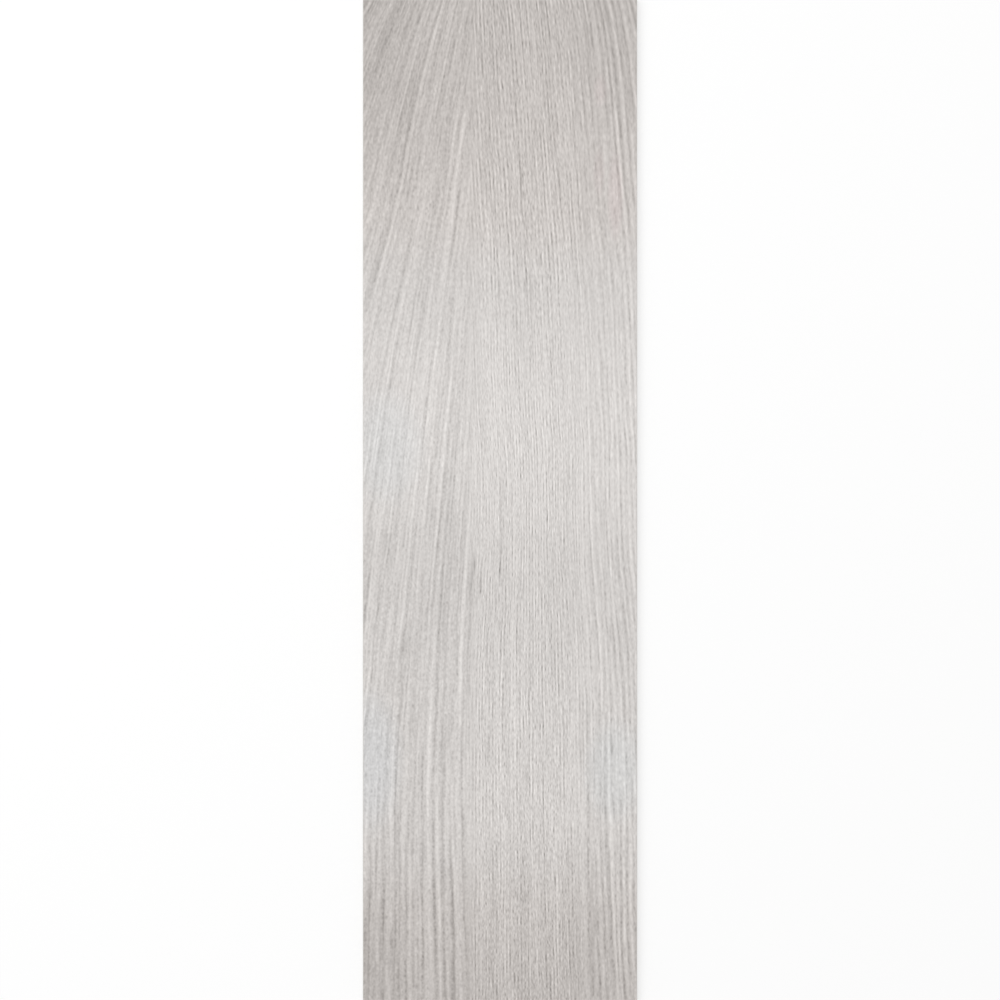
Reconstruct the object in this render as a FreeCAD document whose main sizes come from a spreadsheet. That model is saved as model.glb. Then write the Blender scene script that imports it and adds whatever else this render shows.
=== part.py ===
import FreeCAD, Part
import math
import os
import Sketcher

# Wood look porcelain plank tile: one dry-pressed, fired and edge-ground slab.
# It lies on its back. The origin is at the middle of the back, on the plane that the
# tile rests on: +X runs across the width, +Y along the grain, +Z up through the face.
# The face is flat here, with the narrow ground bevel of a rectified tile on its four
# arrises. The back has the shallow pressed pockets that key it into its adhesive.

# Driving dimensions, in millimetres.
SIZES = [
    ("plank_width", 233.0, "ground width across the grain"),
    ("plank_length", 850.0, "ground length along the grain"),
    ("plank_thickness", 9.5, "from the ribs of the back to the face"),
    ("face_bevel", 0.5, "bevel round the face, leg of the 45 degree cut"),
    ("key_depth", 0.5, "depth of the pressed pockets in the back"),
    ("key_pitch", 51.5, "pocket to pocket, the same both ways"),
    ("key_rib", 4.0, "rib left between two pockets"),
    ("key_corner", 4.0, "corner radius of a pocket"),
    ("back_margin", 12.0, "least plain band between the pockets and an edge"),
]

# Pockets are counted in pairs, so that a rib crosses the middle of the back.
POCKET_COUNTS = [
    ("keys_across", "plank_width", "pockets across the width"),
    ("keys_along", "plank_length", "pockets along the length"),
]

DOCUMENT_NAME = "PlankTile"
SHEET_NAME = "Sizes"
NODE_NAME = "plank_tile"
PARTS_FOLDER = "parts"
SAME_HEIGHT = 1e-6
VOLUME_SHARE = 1e-6

# The lines of a four-sided outline, in the order that they are drawn.
FRONT, RIGHT, BACK, LEFT = range(4)
SIDES = (FRONT, RIGHT, BACK, LEFT)
# How a sketch constraint names its own origin, and a line's or arc's two ends.
ORIGIN = (-1, 1)
START, END = 1, 2


def make_sheet(document):
    """Writes the driving dimensions, and the pocket counts worked out from them."""
    sheet = document.addObject("Spreadsheet::Sheet", SHEET_NAME)
    rows = [(alias, str(value), note) for alias, value, note in SIZES]
    for alias, side, note in POCKET_COUNTS:
        pairs = f"floor(({side} - 2 * back_margin + key_rib) / (2 * key_pitch))"
        rows.append((alias, f"=2 * {pairs}", note))
    for row, (alias, content, note) in enumerate(rows, start=1):
        sheet.set(f"A{row}", note)
        sheet.set(f"B{row}", content)
        sheet.setAlias(f"B{row}", alias)
    document.recompute()
    return sheet


def cell(alias):
    """Returns the expression that reads one cell of the sheet."""
    return f"{SHEET_NAME}.{alias}"


def add_sketch(body, name):
    """Adds a sketch to the body, on the plane of the back."""
    plane = next(o for o in body.Origin.OriginFeatures if o.Role == "XY_Plane")
    sketch = body.newObject("Sketcher::SketchObject", name)
    sketch.AttachmentSupport = [(plane, "")]
    sketch.MapMode = "FlatFace"
    return sketch


def constrain(sketch, kind, *places):
    """Adds one constraint to the sketch."""
    sketch.addConstraint(Sketcher.Constraint(kind, *places))


def dimension(sketch, name, expression, kind, *places):
    """Adds a named dimension to the sketch and ties it to an expression."""
    constrain(sketch, kind, *places)
    sketch.renameConstraint(sketch.ConstraintCount - 1, name)
    sketch.setExpression(f"Constraints.{name}", expression)


def square_to_axes(sketch):
    """Holds the front and back lines along X, and the two side lines along Y."""
    for line in (FRONT, BACK):
        constrain(sketch, "Horizontal", line)
    for line in (RIGHT, LEFT):
        constrain(sketch, "Vertical", line)


def draw_outline(sketch, sheet):
    """Draws the tile's outline, centred on the origin."""
    x, y = sheet.plank_width / 2, sheet.plank_length / 2
    corners = [FreeCAD.Vector(*at, 0) for at in ((-x, -y), (x, -y), (x, y), (-x, y))]
    for side in SIDES:
        sketch.addGeometry(Part.LineSegment(corners[side], corners[(side + 1) % 4]), False)
    for side in SIDES:
        constrain(sketch, "Coincident", side, END, (side + 1) % 4, START)
    square_to_axes(sketch)
    constrain(sketch, "Symmetric", FRONT, START, BACK, START, *ORIGIN)
    dimension(sketch, "width", cell("plank_width"),
              "DistanceX", FRONT, START, FRONT, END, 2 * x)
    dimension(sketch, "length", cell("plank_length"),
              "DistanceY", RIGHT, START, RIGHT, END, 2 * y)


def draw_first_pocket(sketch, sheet):
    """Draws the pocket at the low end of both rows: four lines, then four corner arcs."""
    size, radius = sheet.key_pitch - sheet.key_rib, sheet.key_corner
    low_x = -(sheet.keys_across * sheet.key_pitch - sheet.key_rib) / 2
    low_y = -(sheet.keys_along * sheet.key_pitch - sheet.key_rib) / 2
    near_x, far_x = low_x + radius, low_x + size - radius
    near_y, far_y = low_y + radius, low_y + size - radius
    turns = ((far_x, near_y), (far_x, far_y), (near_x, far_y), (near_x, near_y))
    centres = [FreeCAD.Vector(*at, 0) for at in turns]
    outward = [FreeCAD.Vector(*way, 0) * radius for way in ((0, -1), (1, 0), (0, 1), (-1, 0))]
    for side in SIDES:
        start = centres[side - 1] + outward[side]
        sketch.addGeometry(Part.LineSegment(start, centres[side] + outward[side]), False)
    for side in SIDES:
        circle = Part.Circle(centres[side], FreeCAD.Vector(0, 0, 1), radius)
        quarter = [math.pi / 2 * (side - 1), math.pi / 2 * side]
        sketch.addGeometry(Part.ArcOfCircle(circle, *quarter), False)
    arcs = [side + len(SIDES) for side in SIDES]
    for side in SIDES:
        constrain(sketch, "Tangent", side, END, arcs[side], START)
        constrain(sketch, "Tangent", arcs[side], END, (side + 1) % 4, START)
    square_to_axes(sketch)
    for arc in arcs[1:]:
        constrain(sketch, "Equal", arcs[0], arc)
    dimension(sketch, "corner", cell("key_corner"), "Radius", arcs[0], radius)
    pitch, rib = cell("key_pitch"), cell("key_rib")
    across, along = cell("keys_across"), cell("keys_along")
    dimension(sketch, "size_across", f"{pitch} - {rib}",
              "DistanceX", LEFT, START, RIGHT, START, size)
    dimension(sketch, "size_along", f"{pitch} - {rib}",
              "DistanceY", FRONT, START, BACK, START, size)
    dimension(sketch, "from_middle_across", f"({across} * {pitch} - {rib}) / 2",
              "DistanceX", LEFT, START, *ORIGIN, -low_x)
    dimension(sketch, "from_middle_along", f"({along} * {pitch} - {rib}) / 2",
              "DistanceY", FRONT, START, *ORIGIN, -low_y)


def press_slab(body, sheet):
    """Pads the outline up to the face."""
    outline = add_sketch(body, "Outline")
    draw_outline(outline, sheet)
    slab = body.newObject("PartDesign::Pad", "Slab")
    slab.Profile = outline
    slab.setExpression("Length", cell("plank_thickness"))
    return slab


def grind_bevel(document, body, slab):
    """Bevels the four arrises of the face."""
    document.recompute()
    top = slab.Shape.BoundBox.ZMax
    face = next(number for number, face in enumerate(slab.Shape.Faces, start=1)
                if face.BoundBox.ZMin > top - SAME_HEIGHT)
    bevel = body.newObject("PartDesign::Chamfer", "FaceBevel")
    bevel.Base = (slab, [f"Face{face}"])
    bevel.setExpression("Size", cell("face_bevel"))
    return bevel


def press_back(document, body, sheet):
    """Presses the first key pocket into the back, and repeats it over the whole back."""
    document.recompute()
    outline = add_sketch(body, "PocketOutline")
    draw_first_pocket(outline, sheet)
    pocket = body.newObject("PartDesign::Pocket", "KeyPocket")
    pocket.Profile = outline
    pocket.Reversed = True
    pocket.setExpression("Length", cell("key_depth"))
    document.recompute()
    keys = body.newObject("PartDesign::LinearPattern", "KeyPockets")
    keys.Originals = [pocket]
    keys.Direction, keys.Direction2 = (outline, ["H_Axis"]), (outline, ["V_Axis"])
    keys.Mode = keys.Mode2 = "Extent"
    keys.setExpression("Length", f"({cell('keys_across')} - 1) * {cell('key_pitch')}")
    keys.setExpression("Length2", f"({cell('keys_along')} - 1) * {cell('key_pitch')}")
    keys.setExpression("Occurrences", cell("keys_across"))
    keys.setExpression("Occurrences2", cell("keys_along"))
    body.Tip = keys
    return keys


def check(document, body, sheet):
    """Stops the build if a feature failed, or if the solid isn't the slab less its cuts."""
    for thing in document.Objects:
        if "Invalid" in thing.State or "Error" in thing.State:
            raise RuntimeError(f"{thing.Label} failed: {thing.State}")
    shape = body.Shape
    if shape.isNull() or not shape.isValid() or len(shape.Solids) != 1:
        raise RuntimeError("the tile isn't one valid solid")
    width, length, bevel = sheet.plank_width, sheet.plank_length, sheet.face_bevel
    ring = bevel ** 2 * (width + length) - 4 / 3 * bevel ** 3
    pocket = (sheet.key_pitch - sheet.key_rib) ** 2 - (4 - math.pi) * sheet.key_corner ** 2
    pockets = sheet.keys_across * sheet.keys_along * pocket * sheet.key_depth
    expected = width * length * sheet.plank_thickness - ring - pockets
    if abs(shape.Volume - expected) > VOLUME_SHARE * expected:
        raise RuntimeError(f"the volume is {shape.Volume:.1f} and not {expected:.1f} cubic mm")
    print(f"{body.Label}: {shape.Volume:.1f} cubic mm, {len(shape.Faces)} faces")


def main():
    """Builds the tile and writes its solid."""
    document = FreeCAD.newDocument(DOCUMENT_NAME)
    sheet = make_sheet(document)
    body = document.addObject("PartDesign::Body", "PlankTile")
    body.Label = NODE_NAME
    slab = press_slab(body, sheet)
    grind_bevel(document, body, slab)
    press_back(document, body, sheet)
    document.recompute()
    check(document, body, sheet)
    os.makedirs(PARTS_FOLDER, exist_ok=True)
    body.Shape.exportStep(f"{PARTS_FOLDER}/{body.Label}.step")


main()
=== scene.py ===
import logging
import math
from dataclasses import dataclass, field, replace
from enum import Enum
from functools import reduce
from operator import add
from typing import Iterable, Union

import bpy
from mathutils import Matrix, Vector


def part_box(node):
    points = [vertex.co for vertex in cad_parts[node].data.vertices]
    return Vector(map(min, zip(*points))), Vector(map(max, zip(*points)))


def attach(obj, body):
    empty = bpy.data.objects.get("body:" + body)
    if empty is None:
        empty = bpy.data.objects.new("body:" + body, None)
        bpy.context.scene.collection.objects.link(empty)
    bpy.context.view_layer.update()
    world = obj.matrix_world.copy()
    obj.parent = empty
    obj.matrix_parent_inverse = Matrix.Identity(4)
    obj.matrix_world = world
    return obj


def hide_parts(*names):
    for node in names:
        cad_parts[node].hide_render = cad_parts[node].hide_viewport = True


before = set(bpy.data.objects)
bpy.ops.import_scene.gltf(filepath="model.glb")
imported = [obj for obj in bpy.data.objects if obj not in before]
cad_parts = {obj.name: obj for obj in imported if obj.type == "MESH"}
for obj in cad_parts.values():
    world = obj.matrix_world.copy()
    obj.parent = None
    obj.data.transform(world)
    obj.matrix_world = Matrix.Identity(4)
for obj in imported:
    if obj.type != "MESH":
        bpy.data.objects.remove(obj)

# A wood look porcelain plank tile, lying on its back on a pale floor, seen from straight above.
# The tile is one piece. Its face carries a matt printed glaze over a shallow pressed relief, and
# both follow one grain, which is worked out once and used for the print and for the mesh.
# Lengths are in metres, apart from the grain's, which are in millimetres.

LOG = logging.getLogger("plank_tile")
NODE = "plank_tile"
BODY = "root"
BAKE_MAP = "OFBake"

MM = 0.001
TONE_STEPS = 255.0
TONE_GAMMA = 2.2
NOISE_SPREAD = 0.115

Number = Union["Reading", float]
Tint = tuple[float, float, float]


def deselect_all() -> None:
    """Leaves nothing selected, so that an operator acts on the new piece alone."""
    bpy.ops.object.select_all(action="DESELECT")


def make_active(piece: bpy.types.Object) -> None:
    """Selects one piece alone and makes it the active one.

    Args:
        piece: The object to select.
    """
    deselect_all()
    piece.select_set(True)
    bpy.context.view_layer.objects.active = piece


class Reading:
    """A value that a node tree works out at each point of the surface."""

    def __init__(self, tree: bpy.types.NodeTree, socket: bpy.types.NodeSocket) -> None:
        """Keeps the tree and the socket that gives the value."""
        self.tree = tree
        self.socket = socket

    def _worked(self, operation: str, *operands: Number) -> "Reading":
        """Adds a maths node.

        Args:
            operation: The name of the node's operation.
            operands: What the node works on, in order.

        Returns:
            The node's result.
        """
        node = self.tree.nodes.new("ShaderNodeMath")
        node.operation = operation
        for place, operand in zip(node.inputs, operands):
            if isinstance(operand, Reading):
                self.tree.links.new(operand.socket, place)
            else:
                place.default_value = operand
        return Reading(self.tree, node.outputs[0])

    def __add__(self, other: Number) -> "Reading":
        """Adds a value."""
        return self._worked("ADD", self, other)

    def __radd__(self, other: float) -> "Reading":
        """Adds this to a plain number."""
        return self._worked("ADD", other, self)

    def __sub__(self, other: Number) -> "Reading":
        """Takes a value away."""
        return self._worked("SUBTRACT", self, other)

    def __rsub__(self, other: float) -> "Reading":
        """Takes this away from a plain number."""
        return self._worked("SUBTRACT", other, self)

    def __mul__(self, other: Number) -> "Reading":
        """Multiplies by a value."""
        return self._worked("MULTIPLY", self, other)

    def __rmul__(self, other: float) -> "Reading":
        """Multiplies a plain number by this."""
        return self._worked("MULTIPLY", other, self)

    def __truediv__(self, other: Number) -> "Reading":
        """Divides by a value."""
        return self._worked("DIVIDE", self, other)

    def __pow__(self, power: float) -> "Reading":
        """Raises to a power."""
        return self._worked("POWER", self, power)

    def of(self, operation: str, *others: Number) -> "Reading":
        """Works out a named function of this value, such as TANH or MINIMUM."""
        return self._worked(operation, self, *others)

    def rising(self, low: float, high: float, start: float = 0.0, end: float = 1.0) -> "Reading":
        """Goes smoothly from one value to another as this passes from low to high.

        Args:
            low: Where the change starts.
            high: Where the change ends.
            start: The result up to low.
            end: The result from high.

        Returns:
            The smooth step.
        """
        node = self.tree.nodes.new("ShaderNodeMapRange")
        node.interpolation_type = "SMOOTHSTEP"
        self.tree.links.new(self.socket, node.inputs["Value"])
        for name, value in (("From Min", low), ("From Max", high), ("To Min", start), ("To Max", end)):
            node.inputs[name].default_value = value
        return Reading(self.tree, node.outputs["Result"])

    def along_curve(self, points: tuple[tuple[float, float], ...], bends: str = "AUTO") -> "Reading":
        """Reads a curve of this value, which goes on level past its ends.

        Args:
            points: The curve's points, each a place from 0 to 1 and the result there.
            bends: How the curve bends at a point, AUTO for smoothly or VECTOR for sharply.

        Returns:
            The curve's height.
        """
        node = self.tree.nodes.new("ShaderNodeFloatCurve")
        curve = node.mapping.curves[0]
        for place, height in points[1:-1]:
            curve.points.new(place, height)
        for point, (place, height) in zip(curve.points, points):
            point.location = (place, height)
            point.handle_type = bends
        node.mapping.extend = "HORIZONTAL"
        node.mapping.update()
        self.tree.links.new(self.socket, node.inputs["Value"])
        return Reading(self.tree, node.outputs["Value"])


def noise(across: Reading, along: Reading, seed: float, detail: float = 0.0) -> Reading:
    """Reads a band of soft noise about zero.

    Args:
        across: The place across the grain, in widths of the noise's marks.
        along: The place along the grain, in lengths of the marks.
        seed: Sets this band apart from the others.
        detail: How many finer octaves are laid over it.

    Returns:
        The noise, from about -0.5 to 0.5.
    """
    tree = across.tree
    place = tree.nodes.new("ShaderNodeCombineXYZ")
    tree.links.new(across.socket, place.inputs["X"])
    tree.links.new(along.socket, place.inputs["Y"])
    place.inputs["Z"].default_value = seed
    marks = tree.nodes.new("ShaderNodeTexNoise")
    marks.inputs["Scale"].default_value = 1.0
    marks.inputs["Detail"].default_value = detail
    tree.links.new(place.outputs["Vector"], marks.inputs["Vector"])
    return Reading(tree, marks.outputs[0]) - 0.5


def total(readings: Iterable[Reading]) -> Reading:
    """Adds readings up."""
    return reduce(add, readings)


@dataclass(frozen=True)
class Patch:
    """A soft oval area of the face that is tinted.

    Attributes:
        across: The middle's place across the width, in millimetres from the tile's middle.
        along: The middle's place along the length, in millimetres from the tile's middle.
        reach_across: The half width, in millimetres.
        reach_along: The half length, in millimetres.
        tint: What is added to red, green and blue at the middle, in steps of tone.
    """

    across: float
    along: float
    reach_across: float
    reach_along: float
    tint: Tint

    def strength(self, x: Reading, y: Reading) -> Reading:
        """Works out how much of the tint shows, from 1 at the middle to 0 at the rim."""
        off_x = (x - self.across) / self.reach_across
        off_y = (y - self.along) / self.reach_along
        return (off_x * off_x + off_y * off_y).rising(0.0, 1.0, 1.0, 0.0)


@dataclass(frozen=True)
class Profile:
    """A smooth curve along the tile, from the foot at 0 to the head at 1."""

    points: tuple[tuple[float, float], ...]

    def at(self, rise: Reading) -> Reading:
        """Reads the curve.

        Args:
            rise: The place along the tile, from 0 at the foot to 1 at the head.

        Returns:
            The curve's height there.
        """
        heights = [height for _, height in self.points]
        low = min(heights)
        span = max(heights) - low
        scaled = tuple((place, (height - low) / span) for place, height in self.points)
        return rise.along_curve(scaled) * span + low


@dataclass(frozen=True)
class Spot:
    """A point of the face, as the grain sees it.

    Attributes:
        across: The place across the grain, the same all along a grain line, in millimetres.
        off: The place across the width, in millimetres from the heart line.
        along: The place along the tile, in millimetres from its middle.
        rise: The place along the tile, from 0 at the foot to 1 at the head.
        outward: How near the tile's long edge the point is, from 0 beside the heart to 1.
    """

    across: Reading
    off: Reading
    along: Reading
    rise: Reading
    outward: Reading


@dataclass(frozen=True)
class Marks:
    """Soft marks of one size along the grain.

    Attributes:
        width: A mark's width, in millimetres.
        length: A mark's length, in millimetres.
        seed: Sets these marks apart from the others.
        inner: Their strength beside the heart, in steps of tone.
        outer: Their strength beside the tile's edge, in steps of tone.
        upright: Whether they stand straight up the tile, and don't lean with the grain.
    """

    width: float
    length: float
    seed: float
    inner: float
    outer: float
    upright: bool = False

    def tone(self, spot: Spot) -> Reading:
        """Works out how much lighter or darker the marks make the print."""
        across = spot.off if self.upright else spot.across
        strength = spot.outward * ((self.outer - self.inner) / NOISE_SPREAD) + self.inner / NOISE_SPREAD
        return noise(across / self.width, spot.along / self.length, self.seed) * strength


@dataclass(frozen=True)
class Lines:
    """Long thin lines along the grain, drawn where a broad band of noise passes zero.

    Attributes:
        gap: The usual gap between two lines, in millimetres.
        length: How far a line runs before it wanders, in millimetres.
        seed: Sets these lines apart from the others.
        sharpness: How thin they are against the gap.
        step: How much lighter or darker they are, along the tile, in steps of tone.
    """

    gap: float
    length: float
    seed: float
    sharpness: float
    step: Profile

    def tone(self, spot: Spot) -> Reading:
        """Works out how much lighter or darker the lines make the print."""
        band = noise(spot.across / self.gap, spot.along / self.length, self.seed)
        line = (band.of("ABSOLUTE") * self.sharpness).rising(0.0, 1.0, 1.0, 0.0)
        return line * self.step.at(spot.rise)


@dataclass(frozen=True)
class Streak:
    """One streak of the print, at a given place.

    Attributes:
        across: Its place across the grain, in millimetres.
        width: Its half width across the grain, in millimetres.
        step: How much lighter or darker its middle is, in steps of tone.
    """

    across: float
    width: float
    step: float

    def height(self, place: float) -> float:
        """Works out how much lighter or darker the print is at a place across the grain."""
        return self.step * max(0.0, 1.0 - abs(place - self.across) / self.width)


@dataclass(frozen=True)
class Sheaf:
    """Streaks that start and end together.

    Attributes:
        low: Where they start, from 0 at the foot to 1 at the head, or below 0 where they run off the foot.
        high: Where they end, above 1 where they run off the head.
        fade: How long each end takes to fade out.
        streaks: The streaks.
    """

    low: float
    high: float
    fade: float
    streaks: tuple[Streak, ...]

    def section(self, across: Reading) -> Reading:
        """Draws all the streaks as one curve, because the renderer takes only so many values at once.

        Args:
            across: The place across the grain, in millimetres.

        Returns:
            How much lighter or darker the print is there.
        """
        bends = sorted({
            streak.across + side * streak.width for streak in self.streaks for side in (-1, 0, 1)
        })
        heights = [sum(streak.height(bend) for streak in self.streaks) for bend in bends]
        reach = bends[-1] - bends[0]
        low = min(heights)
        span = max(heights) - low
        points = tuple(((bend - bends[0]) / reach, (height - low) / span) for bend, height in zip(bends, heights))
        return ((across - bends[0]) / reach).along_curve(points, "VECTOR") * span + low

    def tone(self, spot: Spot) -> Reading:
        """Works out how much lighter or darker the streaks make the print."""
        middle = (self.low + self.high) / 2
        reach = (self.high - self.low) / 2
        from_middle = (spot.rise - middle).of("ABSOLUTE")
        shown = from_middle.rising(reach - self.fade, reach + self.fade, 1.0, 0.0)
        return self.section(spot.across) * shown


@dataclass(frozen=True)
class Half:
    """The grain on one side of the heart line.

    Attributes:
        spread: How far the grain lines are drawn together, along the tile.
        shift: How far they are moved aside, along the tile, in millimetres.
        strength: How strongly the marks show, along the tile.
        coarse: The broad marks.
        fine: The fine marks, which break a comb of even lines up.
        lines: The long thin lines.
        sheaves: The streaks that are placed one by one.
        seed: Sets the comb apart.
        inner_period: From line to line of the comb beside the heart, in millimetres.
        outer_period: From line to line of the comb beside the edge, in millimetres.
        inner_comb: How much of the comb is left whole beside the heart, in steps of tone.
        outer_comb: How much of the comb is left whole beside the edge, in steps of tone.
        foot_width: How much wider than written the marks are at the foot.
        head_width: The same at the head.
        foot_comb: How much more of the comb than written is left whole at the foot.
        head_comb: The same at the head.
    """

    spread: Profile
    shift: Profile
    strength: Profile
    coarse: tuple[Marks, ...]
    fine: tuple[Marks, ...]
    lines: tuple[Lines, ...]
    sheaves: tuple[Sheaf, ...]
    seed: float
    inner_period: float
    outer_period: float
    inner_comb: float
    outer_comb: float
    foot_width: float
    head_width: float
    foot_comb: float = 0.6
    head_comb: float = 1.1

    def pattern(self, spot: Spot) -> Reading:
        """Works out the marks and lines, which know nothing of the fan.

        Args:
            spot: The point of the face.

        Returns:
            How much lighter or darker the print is, in steps of tone.
        """
        drift = noise(spot.across / 14.0, spot.along / 170.0, self.seed, 1.0) * 1.2
        inner = ((spot.across / self.inner_period + drift) * math.tau).of("SINE")
        outer = ((spot.across / self.outer_period + drift) * math.tau).of("SINE")
        comb = inner + (outer - inner) * spot.outward
        whole = spot.outward * (self.outer_comb - self.inner_comb) + self.inner_comb
        whole = whole * (spot.rise * (self.head_comb - self.foot_comb) + self.foot_comb)
        coarse = total(marks.tone(spot) for marks in self.coarse)
        fine = total(marks.tone(spot) for marks in self.fine)
        tone = (coarse + comb * (fine * 1.4 + whole)) * self.strength.at(spot.rise)
        if not self.lines:
            return tone
        broken = noise(spot.across / 5.0, spot.along / 60.0, self.seed + 18.0).rising(-0.25, 0.1, 0.35)
        return tone + total(lines.tone(spot) for lines in self.lines) * broken

    def tone(self, off: Reading, along: Reading, rise: Reading, outward: Reading) -> Reading:
        """Works out the print on this side of the heart.

        Args:
            off: The place across the width, in millimetres from the heart line.
            along: The place along the tile, in millimetres from its middle.
            rise: The place along the tile, from 0 at the foot to 1 at the head.
            outward: How near the tile's long edge the point is, from 0 to 1.

        Returns:
            How much lighter or darker the print is, in steps of tone.
        """
        placed = Spot(off * self.spread.at(rise) + self.shift.at(rise), off, along, rise, outward)
        tone = self.pattern(replace(placed, across=placed.across / self.foot_width))
        if self.head_width != self.foot_width:
            closed = self.pattern(replace(placed, across=placed.across / self.head_width))
            tone = tone + (closed - tone) * rise.rising(0.55, 0.8)
        broken = noise(placed.across / 3.0, along / 22.0, self.seed + 26.0).rising(-0.2, 0.2, 0.65, 1.35)
        return tone + total(sheaf.tone(placed) for sheaf in self.sheaves) * broken


LEFT_HALF = Half(
    spread=Profile((
        (0.0, 1.0), (0.1, 1.05), (0.2, 1.1), (0.3, 1.2), (0.4, 1.28), (0.5, 1.39),
        (0.6, 1.52), (0.7, 1.76), (0.8, 2.05), (0.9, 2.34), (1.0, 2.95),
    )),
    shift=Profile((
        (0.0, 0.0), (0.1, 3.1), (0.2, 5.7), (0.3, 6.7), (0.4, 3.0), (0.5, -3.1),
        (0.6, -11.3), (0.7, -20.1), (0.8, -37.2), (0.9, -59.6), (1.0, -96.7),
    )),
    strength=Profile(((0.0, 0.9), (0.12, 0.88), (0.3, 0.9), (0.5, 0.82), (0.7, 0.98), (0.9, 0.98), (1.0, 0.98))),
    coarse=(
        Marks(3.4, 200.0, 3.1, 1.8, 1.8),
        Marks(2.2, 50.0, 5.6, 2.0, 2.0),
        Marks(1.7, 3.2, 17.2, 2.8, 2.8, upright=True),
    ),
    fine=(
        Marks(5.5, 300.0, 7.7, 3.2, 3.2), Marks(3.6, 28.0, 12.9, 1.8, 1.8),
        Marks(3.2, 8.0, 21.3, 1.8, 1.8), Marks(2.2, 2.4, 27.4, 2.6, 2.6, upright=True),
    ),
    lines=(
        Lines(4.6, 500.0, 71.0, 9.0, Profile(((0.0, -4.0), (0.3, -5.0), (0.6, -4.0), (1.0, -3.0)))),
        Lines(8.5, 400.0, 75.3, 16.0, Profile(((0.0, -3.0), (0.3, -5.0), (0.6, -4.0), (1.0, -3.0)))),
        Lines(3.6, 260.0, 79.1, 6.0, Profile(((0.0, -1.5), (0.2, -3.5), (0.5, -4.0), (0.8, -2.0), (1.0, -1.5)))),
        Lines(7.0, 500.0, 77.6, 9.0, Profile(((0.0, 3.5), (0.3, 1.0), (0.6, 0.5), (1.0, 2.0)))),
    ),
    sheaves=(
        Sheaf(-0.2, 0.15, 0.05, (
            Streak(-89.0, 1.8, -13.0), Streak(-85.0, 2.0, 9.0), Streak(-56.5, 1.8, -17.0),
            Streak(-15.6, 2.2, -18.0),
        )),
        Sheaf(-0.2, 0.24, 0.06, (
            Streak(-62.5, 1.8, -16.0), Streak(-53.5, 2.4, 11.0), Streak(-27.0, 2.2, 8.0),
        )),
        Sheaf(-0.2, 0.28, 0.1, (
            Streak(-76.5, 2.4, -11.0), Streak(-71.0, 3.4, 8.0), Streak(-66.5, 1.6, -11.0),
            Streak(-42.0, 1.8, -13.0), Streak(-36.5, 3.4, 6.0), Streak(-30.6, 2.0, -12.0),
            Streak(-22.9, 1.8, -11.0), Streak(-19.6, 2.0, 7.0), Streak(-9.5, 3.0, 7.5),
            Streak(-4.5, 1.8, -9.0),
        )),
        Sheaf(0.22, 0.46, 0.06, (
            Streak(-67.5, 1.8, -7.0), Streak(-40.5, 1.8, -8.0), Streak(-29.0, 1.8, -8.0),
            Streak(-23.5, 1.6, -7.0), Streak(-12.6, 2.0, -10.0), Streak(0.5, 2.2, -8.0),
        )),
        Sheaf(0.32, 0.46, 0.05, (
            Streak(-87.7, 2.4, -6.0), Streak(-78.0, 2.2, -8.0), Streak(-55.5, 3.6, 3.0),
        )),
        Sheaf(0.36, 0.66, 0.08, (
            Streak(-122.0, 3.0, -5.0), Streak(-109.0, 4.0, 4.0), Streak(-100.0, 3.4, -6.0),
            Streak(-63.0, 1.8, 5.0), Streak(-51.0, 2.4, -6.0), Streak(-39.6, 3.2, -6.0),
            Streak(-28.0, 2.0, -6.0),
        )),
        Sheaf(0.52, 0.68, 0.05, (Streak(-77.0, 3.0, 6.0),)),
        Sheaf(0.68, 0.94, 0.04, (
            Streak(-180.0, 4.6, -9.0), Streak(-134.0, 4.6, -6.0), Streak(-121.0, 6.0, 6.0),
            Streak(-101.0, 4.0, -6.0), Streak(-90.0, 4.2, -5.0), Streak(-77.5, 4.0, -3.0),
        )),
        Sheaf(0.77, 0.93, 0.04, (Streak(-207.0, 4.5, -7.0),)),
        Sheaf(0.8, 1.2, 0.05, (Streak(-169.0, 6.0, 8.0), Streak(-162.0, 4.0, -6.0))),
        Sheaf(0.87, 0.97, 0.03, (Streak(-255.0, 7.0, 7.0), Streak(-198.0, 5.0, 10.0))),
        Sheaf(0.9, 1.2, 0.04, (Streak(-273.0, 16.0, -9.0),)),
        Sheaf(0.94, 1.2, 0.02, (Streak(-313.0, 6.0, 13.0), Streak(-297.0, 5.0, 15.0))),
    ),
    seed=63.0,
    inner_period=6.2,
    outer_period=6.2,
    inner_comb=2.6,
    outer_comb=2.6,
    foot_width=1.2,
    head_width=2.3,
)

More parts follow.
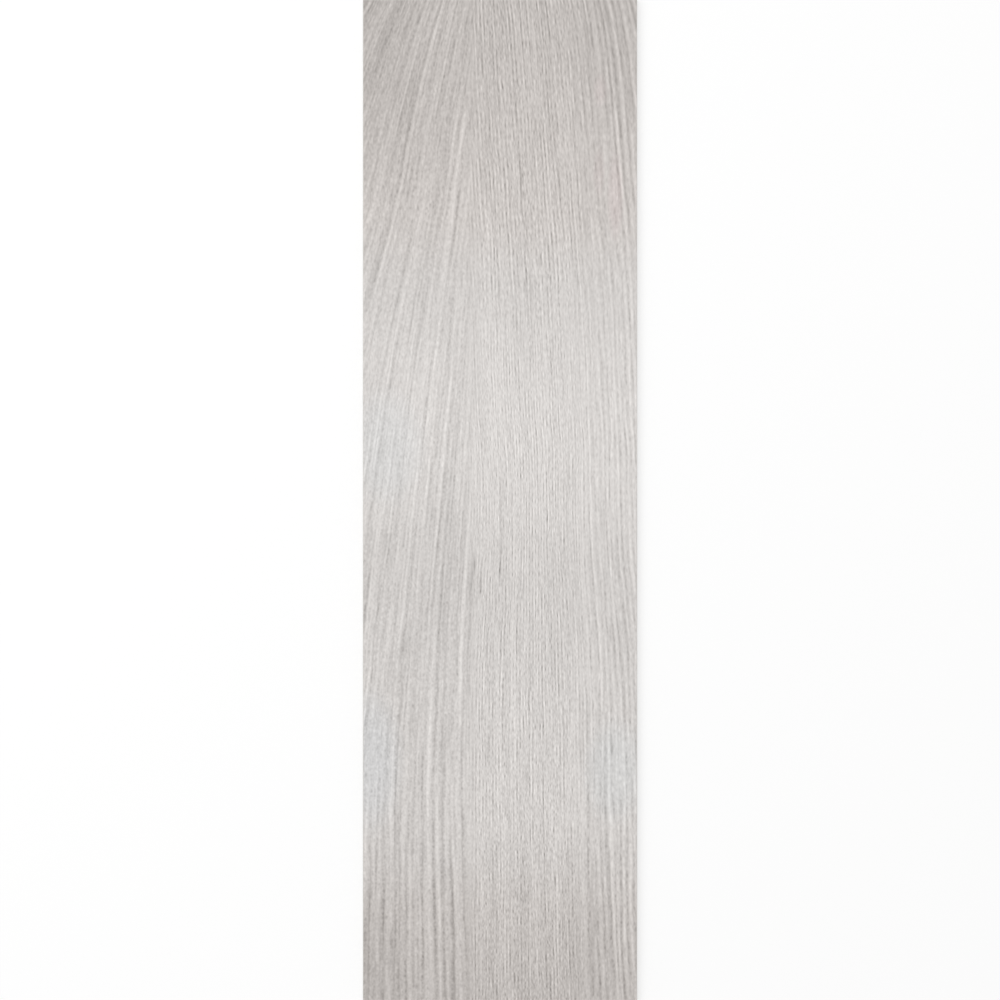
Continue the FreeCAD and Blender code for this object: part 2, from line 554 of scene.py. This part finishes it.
RIGHT_HALF = Half(
    spread=Profile((
        (0.0, 1.0), (0.1, 1.04), (0.2, 1.05), (0.3, 1.07), (0.4, 1.16), (0.5, 1.24),
        (0.6, 1.23), (0.7, 1.24), (0.8, 1.27), (0.9, 1.29), (1.0, 1.38),
    )),
    shift=Profile((
        (0.0, 0.0), (0.1, -0.5), (0.2, -0.1), (0.3, -0.5), (0.4, -5.0), (0.5, -8.6),
        (0.6, -4.1), (0.7, -0.5), (0.8, 4.6), (0.9, 11.4), (1.0, 17.1),
    )),
    strength=Profile(((0.0, 1.16), (0.1, 1.16), (0.3, 1.04), (0.5, 0.98), (0.7, 1.07), (0.9, 1.05), (1.0, 1.05))),
    coarse=(
        Marks(7.0, 250.0, 5.1, 1.5, 1.0),
        Marks(2.2, 34.0, 8.8, 1.9, 1.6),
        Marks(1.6, 3.6, 18.8, 3.0, 2.1, upright=True),
    ),
    fine=(
        Marks(5.0, 160.0, 9.7, 2.0, 1.9), Marks(3.8, 24.0, 14.9, 2.2, 1.9),
        Marks(3.0, 8.0, 23.3, 2.7, 1.8), Marks(2.0, 3.2, 29.4, 3.5, 2.1, upright=True),
    ),
    lines=(),
    sheaves=(
        Sheaf(-0.2, 0.2, 0.05, (
            Streak(97.5, 3.0, 6.0), Streak(101.5, 2.0, -7.0), Streak(124.5, 2.0, 6.0),
        )),
        Sheaf(0.405, 0.425, 0.006, (Streak(1.6, 1.8, -36.0), Streak(-8.6, 1.6, -38.0))),
        Sheaf(0.428, 0.443, 0.006, (Streak(-5.5, 1.8, -42.0),)),
        Sheaf(0.42, 0.52, 0.01, (Streak(21.0, 1.3, -18.0),)),
        Sheaf(0.69, 0.94, 0.05, (
            Streak(27.5, 2.6, -7.0), Streak(161.0, 3.0, -3.0), Streak(166.0, 5.0, 5.0),
        )),
        Sheaf(0.72, 1.2, 0.05, (
            Streak(58.0, 2.2, -7.0), Streak(104.0, 2.4, 6.0), Streak(136.0, 2.2, 7.0),
            Streak(145.0, 2.6, -7.0),
        )),
        Sheaf(0.93, 1.2, 0.02, (Streak(170.5, 3.0, -4.0),)),
    ),
    seed=61.0,
    inner_period=3.2,
    outer_period=5.8,
    inner_comb=5.0,
    outer_comb=6.2,
    foot_width=0.95,
    head_width=1.3,
    foot_comb=1.2,
    head_comb=1.5,
)


@dataclass(frozen=True)
class GrainReadings:
    """What the grain gives at a point.

    Attributes:
        tone: How much lighter or darker the print is, in steps of tone.
        hollow: How deep the relief is pressed, from 0 to 1.
    """

    tone: Reading
    hollow: Reading


@dataclass(frozen=True)
class Grain:
    """The grain of bleached oak: lines that fan out from a heart line towards the foot."""

    width: float
    length: float
    heart: float = -23.0
    left: Half = LEFT_HALF
    right: Half = RIGHT_HALF
    wander: float = 2.2
    wobble: float = 1.1
    ripple: float = 0.7
    stretch: float = 0.0002
    contrast: float = 1.16
    skew: float = 0.006
    usual_square: float = 50.0

    def readings(self, x: Reading, y: Reading) -> GrainReadings:
        """Works the grain out at a point of the face.

        Args:
            x: The place across the width, in millimetres from the middle.
            y: The place along the length, in millimetres from the middle.

        Returns:
            The grain there.
        """
        rise = y / self.length + 0.5
        share = x / self.width + 0.5
        wander = noise(x / 30.0, y / 190.0, 51.0, 1.0) * self.wander
        wobble = noise(x / 12.0, y / 26.0, 54.0) * self.wobble
        ripple = noise(x / 5.0, y / 8.0, 57.0) * self.ripple
        off = x - self.heart + wander + wobble + ripple
        along = y - y * y * self.stretch
        left = self.left.tone(off, along, rise, share.rising(0.15, 0.35, 1.0, 0.0))
        right = self.right.tone(off, along, rise, share.rising(0.7, 0.92))
        even = (left + (right - left) * share.rising(0.36, 0.44)) * self.contrast
        tone = even - even * even * self.skew + self.skew * self.usual_square
        hollow = (tone * -0.05 + 0.35).rising(0.0, 1.0)
        return GrainReadings(tone, hollow)


@dataclass(frozen=True)
class PrintedGlaze:
    """The face: a matt glaze with the grain printed under it."""

    grain: Grain
    # The face's tone along the tile: darker towards both ends and lightest in the middle.
    plain: Profile = Profile((
        (0.0, 193.0), (0.05, 197.5), (0.1, 203.0), (0.15, 209.0), (0.2, 213.5), (0.3, 213.0), (0.4, 209.5),
        (0.5, 215.5), (0.55, 217.0), (0.6, 216.0), (0.7, 209.5), (0.8, 201.5), (0.9, 194.5), (1.0, 189.5),
    ))
    middle_tint: Tint = (0.0, -4.2, -7.3)
    end_tint: Tint = (0.0, -5.8, -9.8)
    at_ends: Profile = Profile(((0.0, 1.0), (0.08, 0.9), (0.16, 0.2), (0.3, 0.0), (0.7, 0.0), (0.8, 1.0), (1.0, 1.0)))
    # The grey patches darken the face towards its four corners and in one short strip on the heart line; the others
    # tint it.
    patches: tuple[Patch, ...] = (
        Patch(-112.0, 390.0, 62.0, 170.0, (-11.0, -11.0, -11.0)),
        Patch(112.0, 420.0, 60.0, 120.0, (-3.0, -3.0, -3.0)),
        Patch(-116.0, -410.0, 45.0, 95.0, (-9.0, -9.0, -9.0)),
        Patch(76.0, -375.0, 25.0, 70.0, (-4.0, -4.0, -4.0)),
        Patch(-24.7, -75.0, 5.0, 30.0, (-6.0, -6.0, -6.0)),
        Patch(-98.0, 45.0, 40.0, 58.0, (-1.5, 1.0, 2.5)),
        Patch(-112.0, -222.0, 34.0, 72.0, (-2.0, 1.2, 4.0)),
        Patch(98.0, -230.0, 32.0, 52.0, (-1.8, 1.2, 2.8)),
        Patch(98.0, 258.0, 8.0, 46.0, (2.0, -1.8, -0.8)),
        Patch(84.0, 278.0, 6.0, 26.0, (1.2, -1.0, -0.4)),
        Patch(85.0, 348.0, 7.0, 16.0, (1.4, -1.2, -0.4)),
    )
    roughness: float = 0.52

    def material(self) -> bpy.types.Material:
        """Makes the printed glaze.

        Returns:
            The material.
        """
        sheet = MaterialSheet("printed_matt_glaze")
        x, y = sheet.place()
        grain = self.grain.readings(x, y)
        rise = y / self.grain.length + 0.5
        plain = self.plain.at(rise)
        at_ends = self.at_ends.at(rise)
        strengths = [patch.strength(x, y) for patch in self.patches]
        channels = []
        for channel, (middle, end) in enumerate(zip(self.middle_tint, self.end_tint)):
            tone = plain + grain.tone + at_ends * (end - middle) + middle
            for patch, strength in zip(self.patches, strengths):
                tone = tone + strength * patch.tint[channel]
            channels.append((tone / TONE_STEPS) ** TONE_GAMMA)
        sheet.colour(*channels)
        sheet.roughness(grain.tone * 0.004 + self.roughness)
        sheet.bump(noise(x / 1.3, y / 4.0, 91.0) * 0.06, 0.5)
        return sheet.material


@dataclass(frozen=True)
class GroundPorcelain:
    """The sides and the bevel: fired porcelain, ground straight by wheels."""

    top: float
    colour: Tint = (0.59, 0.565, 0.52)
    engobe: Tint = (0.70, 0.68, 0.65)
    engobe_depth: float = 0.9

    def material(self) -> bpy.types.Material:
        """Makes the ground porcelain.

        Returns:
            The material.
        """
        sheet = MaterialSheet("ground_porcelain")
        x, y, z = sheet.place_in_depth()
        run = x + y
        speck = noise(run / 0.5, z / 0.5, 4.0, 2.0)
        score = noise(run / 14.0, z / 0.12, 9.0, 1.0)
        cloud = noise(run / 60.0, z / 9.0, 15.0, 1.0)
        shade = speck * 0.10 + score * 0.05 + cloud * 0.06
        in_engobe = z.rising(self.top - self.engobe_depth, self.top - self.engobe_depth + 0.12)
        channels = []
        for body, skin in zip(self.colour, self.engobe):
            channels.append(in_engobe * (skin - body) + body + shade)
        sheet.colour(*channels)
        sheet.roughness(speck * 0.3 + 0.62)
        sheet.bump(score * 0.04 + speck * 0.03, 0.5)
        return sheet.material


@dataclass(frozen=True)
class FiredBack:
    """The back: raw fired porcelain with kiln wash rubbed on its ribs."""

    colour: Tint = (0.50, 0.47, 0.42)
    wash: Tint = (0.78, 0.76, 0.72)
    rib_height: float = 0.12

    def material(self) -> bpy.types.Material:
        """Makes the fired back.

        Returns:
            The material.
        """
        sheet = MaterialSheet("fired_back")
        x, y, z = sheet.place_in_depth()
        cloud = noise(x / 60.0, y / 90.0, 2.0, 2.0)
        speck = noise(x / 0.9, y / 0.9, 6.0, 2.0)
        drag = noise(x / 2.5, y / 40.0, 11.0, 2.0)
        on_rib = z.rising(0.0, self.rib_height, 1.0, 0.0)
        washed = on_rib * (drag * 1.6 + cloud * 0.8 + 0.55).rising(0.2, 0.8)
        shade = speck * 0.08 + cloud * 0.06
        channels = []
        for body, powder in zip(self.colour, self.wash):
            channels.append(washed * (powder - body) + body + shade)
        sheet.colour(*channels)
        sheet.roughness(washed * 0.15 + 0.72)
        sheet.bump(speck * 0.12 + washed * 0.03, 0.6)
        return sheet.material


class MaterialSheet:
    """A material under construction, with its one shader."""

    def __init__(self, name: str) -> None:
        """Starts a material of that name."""
        self.material = bpy.data.materials.new(name)
        self.material.use_nodes = True
        self.tree = self.material.node_tree
        self.shader = self.tree.nodes["Principled BSDF"]

    def place_in_depth(self) -> tuple[Reading, Reading, Reading]:
        """Reads the place on the piece, in millimetres."""
        where = self.tree.nodes.new("ShaderNodeTexCoord")
        parts = self.tree.nodes.new("ShaderNodeSeparateXYZ")
        self.tree.links.new(where.outputs["Object"], parts.inputs[0])
        x, y, z = (Reading(self.tree, part) / MM for part in parts.outputs)
        return x, y, z

    def place(self) -> tuple[Reading, Reading]:
        """Reads the place on the face, in millimetres."""
        x, y, _ = self.place_in_depth()
        return x, y

    def colour(self, red: Reading, green: Reading, blue: Reading) -> None:
        """Gives the shader its colour."""
        joined = self.tree.nodes.new("ShaderNodeCombineColor")
        for channel, place in zip((red, green, blue), joined.inputs):
            self.tree.links.new(channel.socket, place)
        self.tree.links.new(joined.outputs["Color"], self.shader.inputs["Base Color"])

    def roughness(self, value: Reading) -> None:
        """Gives the shader its roughness."""
        self.tree.links.new(value.socket, self.shader.inputs["Roughness"])

    def bump(self, height: Reading, strength: float) -> None:
        """Gives the shader a fine relief.

        Args:
            height: The relief's height, in millimetres.
            strength: How strongly it shows.
        """
        bump = self.tree.nodes.new("ShaderNodeBump")
        bump.inputs["Strength"].default_value = strength
        bump.inputs["Distance"].default_value = MM
        self.tree.links.new(height.socket, bump.inputs["Height"])
        self.tree.links.new(bump.outputs["Normal"], self.shader.inputs["Normal"])


class Finish(Enum):
    """The tile's finishes, by their material slot."""

    GLAZE = 0
    GROUND = 1
    BACK = 2


@dataclass(frozen=True)
class BakeSheet:
    """The square sheet that the map lays the finishes out on.

    The face lies on it in two halves side by side, the back in a strip at half size above them,
    and the sides in narrow columns at the right. The walls of the back's pockets stand upright, so
    each pocket is drawn in a little towards its middle, which gives its walls some width.

    Attributes:
        width: The tile's width, in millimetres, as all lengths here.
        length: The tile's length.
        top: The height of the face.
        pitch: From pocket to pocket of the back.
        across: How many pockets lie side by side.
        along: How many pockets follow each other.
        side: The sheet's side.
        gap: What is left free around each part.
        drawn_in: How much smaller a pocket is drawn for each millimetre of height.
    """

    width: float
    length: float
    top: float
    pitch: float
    across: int
    along: int
    side: float = 549.0
    gap: float = 1.5
    back_scale: float = 0.5
    side_scale: float = 0.62
    drawn_in: float = 0.17

    def from_pocket(self, place: float, count: int) -> float:
        """Works out how far a place is from the middle of its pocket, or 0 where there is none."""
        number = round(place / self.pitch + (count - 1) / 2)
        if not 0 <= number < count:
            return 0.0
        return place - (number - (count - 1) / 2) * self.pitch

    def on_face(self, co: Vector, upper: bool) -> tuple[float, float]:
        """Places a point of the face."""
        if upper:
            return co.x + self.width * 1.5 + self.gap * 3, co.y + self.gap
        return co.x + self.width / 2 + self.gap, co.y + self.length / 2 + self.gap

    def on_back(self, co: Vector) -> tuple[float, float]:
        """Places a point of the back."""
        off_x = self.from_pocket(co.x, self.across)
        off_y = self.from_pocket(co.y, self.along)
        shrink = self.drawn_in * co.z if off_x and off_y else 0.0
        along = (co.y - off_y * shrink + self.length / 2) * self.back_scale
        across = (co.x - off_x * shrink + self.width / 2) * self.back_scale
        return along + self.gap, across + self.length / 2 + self.gap * 3

    def on_side(self, co: Vector, normal: Vector) -> tuple[float, float]:
        """Places a point of a side."""
        column = self.width * 2 + self.gap * 5
        depth = self.top - co.z
        step = self.top + self.gap
        if abs(normal.x) > abs(normal.y):
            slot = 0 if normal.x < 0 else 1
            return column + slot * step + depth, (co.y + self.length / 2) * self.side_scale + self.gap
        up = 0.0 if normal.y < 0 else self.width * self.side_scale + self.gap
        return column + 2 * step + depth, (co.x + self.width / 2) * self.side_scale + self.gap + up

    def lay(self, mesh: bpy.types.Mesh) -> None:
        """Gives the mesh its map.

        Args:
            mesh: The tile's mesh, with its finishes given.
        """
        sheet = mesh.uv_layers.new(name=BAKE_MAP)
        corners = [vertex.co / MM for vertex in mesh.vertices]
        for face in mesh.polygons:
            for loop, number in zip(face.loop_indices, face.vertices):
                if face.material_index == Finish.GLAZE.value:
                    place = self.on_face(corners[number], face.center.y > 0)
                elif face.material_index == Finish.BACK.value:
                    place = self.on_back(corners[number])
                else:
                    place = self.on_side(corners[number], face.normal)
                sheet.data[loop].uv = (place[0] / self.side, place[1] / self.side)


@dataclass
class PlankTile:
    """The tile: face with relief, bevel, ground sides and keyed back, in one closed mesh."""

    low: Vector
    high: Vector
    bevel: float = 0.5 * MM
    arris: float = 0.3 * MM
    relief: float = 0.2 * MM
    cells_across: int = 400
    cells_along: int = 216
    key_pitch: float = 51.5 * MM
    key_rib: float = 4.0 * MM
    key_corner: float = 4.0 * MM
    keys_across: int = 4
    keys_along: int = 16
    key_steps: tuple[tuple[float, float], ...] = ((0.12, 0.3), (0.18, 0.14), (0.5, 0.06))
    piece: bpy.types.Object = field(init=False)

    @property
    def width(self) -> float:
        """The tile's width."""
        return self.high.x - self.low.x

    @property
    def length(self) -> float:
        """The tile's length."""
        return self.high.y - self.low.y

    @property
    def top(self) -> float:
        """The height of the face."""
        return self.high.z

    def ring(self, wider: float, down: float) -> None:
        """Extrudes the open rim of the mesh in edit mode, outwards and down.

        Args:
            wider: How far each side moves outwards.
            down: How far the rim drops.
        """
        rim = [v.co for v in self.piece.data.vertices]
        half_x = max(co.x for co in rim)
        half_y = max(co.y for co in rim)
        bpy.ops.object.mode_set(mode="EDIT")
        bpy.ops.mesh.select_all(action="DESELECT")
        bpy.ops.mesh.select_non_manifold()
        bpy.ops.mesh.extrude_edges_move(TRANSFORM_OT_translate={"value": (0, 0, -down)})
        scale = ((half_x + wider) / half_x, (half_y + wider) / half_y, 1)
        bpy.ops.transform.resize(value=scale, center_override=(0, 0, 0))
        bpy.ops.object.mode_set(mode="OBJECT")

    def press_face(self) -> None:
        """Lays the face as a fine grid, and draws its rim down into the bevel and the sides."""
        deselect_all()
        bpy.ops.mesh.primitive_grid_add(
            x_subdivisions=self.cells_across,
            y_subdivisions=self.cells_along,
            size=1.0,
            location=(0, 0, self.top),
        )
        self.piece = bpy.context.object
        self.piece.name = "plank_tile_fired"
        size = (self.width - 2 * self.bevel, self.length - 2 * self.bevel, 1)
        bpy.ops.transform.resize(value=size)
        bpy.ops.object.transform_apply(location=True, rotation=True, scale=True)
        self.ring(self.bevel, self.bevel)
        self.ring(0.0, self.top - self.bevel - self.arris)
        self.ring(-self.arris, self.arris)

    def press_keys(self) -> bpy.types.Object:
        """Models one pocket of the back and repeats it over the back.

        Returns:
            The pockets, as open shells whose mouths lie in the plane of the back.
        """
        size = self.key_pitch - self.key_rib
        first_x = -(self.keys_across - 1) * self.key_pitch / 2
        first_y = -(self.keys_along - 1) * self.key_pitch / 2
        deselect_all()
        bpy.ops.mesh.primitive_plane_add(size=size, location=(first_x, first_y, 0))
        keys = bpy.context.object
        bpy.ops.object.transform_apply(location=True, rotation=True, scale=True)
        bpy.ops.object.mode_set(mode="EDIT")
        bpy.ops.mesh.select_all(action="SELECT")
        bpy.ops.mesh.bevel(affect="VERTICES", offset=self.key_corner, segments=4, profile=0.5)
        bpy.ops.mesh.select_all(action="SELECT")
        for inward, up in self.key_steps:
            bpy.ops.mesh.inset(thickness=inward * MM, depth=up * MM)
        bpy.ops.object.mode_set(mode="OBJECT")
        rows = ((self.keys_across, (self.key_pitch, 0, 0)), (self.keys_along, (0, self.key_pitch, 0)))
        for count, step in rows:
            array = keys.modifiers.new("Row", "ARRAY")
            array.count = count
            array.use_relative_offset = False
            array.use_constant_offset = True
            array.constant_offset_displace = step
            bpy.ops.object.modifier_apply(modifier=array.name)
        return keys

    def close_back(self) -> None:
        """Joins the pockets to the tile and fills the ribs between them."""
        keys = self.press_keys()
        make_active(self.piece)
        keys.select_set(True)
        bpy.ops.object.join()
        bpy.ops.object.mode_set(mode="EDIT")
        bpy.ops.mesh.select_all(action="DESELECT")
        bpy.ops.mesh.select_non_manifold()
        bpy.ops.mesh.fill(use_beauty=True)
        bpy.ops.mesh.select_all(action="SELECT")
        bpy.ops.mesh.normals_make_consistent(inside=False)
        bpy.ops.object.mode_set(mode="OBJECT")

    def press_relief(self, grain: Grain) -> None:
        """Sinks the hollows of the grain into the face.

        Args:
            grain: The grain that the print follows too.
        """
        tree = bpy.data.node_groups.new("grain_relief", "GeometryNodeTree")
        tree.interface.new_socket("Geometry", in_out="INPUT", socket_type="NodeSocketGeometry")
        tree.interface.new_socket("Geometry", in_out="OUTPUT", socket_type="NodeSocketGeometry")
        start = tree.nodes.new("NodeGroupInput")
        end = tree.nodes.new("NodeGroupOutput")
        where = tree.nodes.new("GeometryNodeInputPosition")
        parts = tree.nodes.new("ShaderNodeSeparateXYZ")
        tree.links.new(where.outputs[0], parts.inputs[0])
        x, y, z = (Reading(tree, part) / MM for part in parts.outputs)
        top = self.top / MM
        on_face = z.rising(top - 0.05, top - 0.01)
        sink = grain.readings(x, y).hollow * on_face * -self.relief
        offset = tree.nodes.new("ShaderNodeCombineXYZ")
        tree.links.new(sink.socket, offset.inputs["Z"])
        move = tree.nodes.new("GeometryNodeSetPosition")
        tree.links.new(start.outputs[0], move.inputs["Geometry"])
        tree.links.new(offset.outputs[0], move.inputs["Offset"])
        tree.links.new(move.outputs[0], end.inputs[0])
        make_active(self.piece)
        modifier = self.piece.modifiers.new("Relief", "NODES")
        modifier.node_group = tree
        bpy.ops.object.modifier_apply(modifier=modifier.name)

    def dress(self, grain: Grain) -> None:
        """Gives the face, the sides and the back their finishes.

        Args:
            grain: The grain that the glaze prints.
        """
        finishes = {
            Finish.GLAZE: PrintedGlaze(grain),
            Finish.GROUND: GroundPorcelain(self.top / MM),
            Finish.BACK: FiredBack(),
        }
        mesh = self.piece.data
        mesh.materials.clear()
        for finish in Finish:
            mesh.materials.append(finishes[finish].material())
        face_floor = self.top - self.bevel * 0.7
        back_ceiling = self.arris * 0.5
        for face in mesh.polygons:
            heights = [mesh.vertices[v].co.z for v in face.vertices]
            if min(heights) > face_floor and face.normal.z > 0.8:
                face.material_index = Finish.GLAZE.value
            elif face.normal.z < -0.2 and min(heights) < back_ceiling and max(heights) < self.top / 2:
                face.material_index = Finish.BACK.value
            elif max(heights) < 2 * MM and abs(face.center.x) < self.high.x - self.key_rib:
                face.material_index = Finish.BACK.value
            else:
                face.material_index = Finish.GROUND.value
        make_active(self.piece)
        bpy.ops.object.shade_smooth_by_angle(angle=math.radians(30))

    def build(self, grain: Grain) -> bpy.types.Object:
        """Builds the whole tile.

        Args:
            grain: The grain of the face.

        Returns:
            The tile.
        """
        self.press_face()
        self.close_back()
        self.press_relief(grain)
        self.dress(grain)
        sheet = BakeSheet(
            self.width / MM, self.length / MM, self.top / MM,
            self.key_pitch / MM, self.keys_across, self.keys_along,
        )
        sheet.lay(self.piece.data)
        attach(self.piece, BODY)
        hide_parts(NODE)
        return self.piece


@dataclass
class Studio:
    """The pale floor, the soft light and the camera straight above the tile."""

    tile_top: float
    face_length: float
    floor_side: float = 12.0
    lens: float = 200.0
    sensor: float = 36.0
    world_light: float = 0.57
    lamp_height: float = 2.6
    lamp_side: float = 2.4
    lamp_power: float = 42.5

    def lay_floor(self) -> None:
        """Lays the floor that the tile rests on."""
        deselect_all()
        bpy.ops.mesh.primitive_plane_add(size=self.floor_side, location=(0, 0, 0))
        floor = bpy.context.object
        floor.name = "pale_floor"
        material = bpy.data.materials.new("pale_floor")
        material.use_nodes = True
        tree = material.node_tree
        shader = tree.nodes["Principled BSDF"]
        shader.inputs["Base Color"].default_value = (0.9, 0.9, 0.9, 1)
        shader.inputs["Roughness"].default_value = 1.0
        glow = tree.nodes.new("ShaderNodeEmission")
        path = tree.nodes.new("ShaderNodeLightPath")
        mix = tree.nodes.new("ShaderNodeMixShader")
        seen = Reading(tree, path.outputs["Is Camera Ray"]) + Reading(tree, path.outputs["Is Glossy Ray"])
        share = (seen * 0.6).of("MINIMUM", 0.6)
        glow.inputs["Strength"].default_value = 1.08
        tree.links.new(share.socket, mix.inputs["Fac"])
        tree.links.new(shader.outputs[0], mix.inputs[1])
        tree.links.new(glow.outputs[0], mix.inputs[2])
        tree.links.new(mix.outputs[0], tree.nodes["Material Output"].inputs["Surface"])
        floor.data.materials.append(material)

    def light(self) -> None:
        """Lights the studio evenly, with one broad soft lamp above."""
        world = bpy.data.worlds.new("studio")
        bpy.context.scene.world = world
        world.use_nodes = True
        tree = world.node_tree
        sky = tree.nodes["Background"]
        path = tree.nodes.new("ShaderNodeLightPath")
        seen = Reading(tree, path.outputs["Is Camera Ray"])
        strength = seen * (1.0 - self.world_light) + self.world_light
        tree.links.new(strength.socket, sky.inputs["Strength"])
        sky.inputs["Color"].default_value = (1, 1, 1, 1)
        deselect_all()
        bpy.ops.object.light_add(type="AREA", location=(-0.9, 0.7, self.lamp_height))
        lamp = bpy.context.object
        lamp.name = "soft_lamp"
        lamp.data.shape = "SQUARE"
        lamp.data.size = self.lamp_side
        lamp.data.energy = self.lamp_power
        aim = Vector((0, 0, 0)) - lamp.location
        lamp.rotation_euler = aim.to_track_quat("-Z", "Y").to_euler()

    def set_camera(self) -> None:
        """Sets the camera straight above, so that the flat of the face fills the picture's height."""
        height = self.face_length * self.lens / self.sensor
        deselect_all()
        bpy.ops.object.camera_add(location=(0, 0, self.tile_top + height), rotation=(0, 0, 0))
        camera = bpy.context.object
        camera.data.lens = self.lens
        camera.data.sensor_width = self.sensor
        camera.data.clip_end = 100.0
        bpy.context.scene.camera = camera
        bpy.context.scene.view_settings.view_transform = "Standard"

    def build(self) -> None:
        """Builds the whole studio."""
        self.lay_floor()
        self.light()
        self.set_camera()


def main() -> None:
    """Builds the tile and the studio around it."""
    logging.basicConfig(level=logging.INFO, format="%(name)s: %(message)s")
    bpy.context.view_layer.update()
    low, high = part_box(NODE)
    tile = PlankTile(Vector(low), Vector(high))
    grain = Grain(tile.width / MM, tile.length / MM)
    piece = tile.build(grain)
    LOG.info("%s: %d faces", piece.name, len(piece.data.polygons))
    Studio(tile.top, tile.length - 2 * tile.bevel).build()
    LOG.info("studio: floor, lamp, world and camera")


if __name__ == "__main__":
    main()
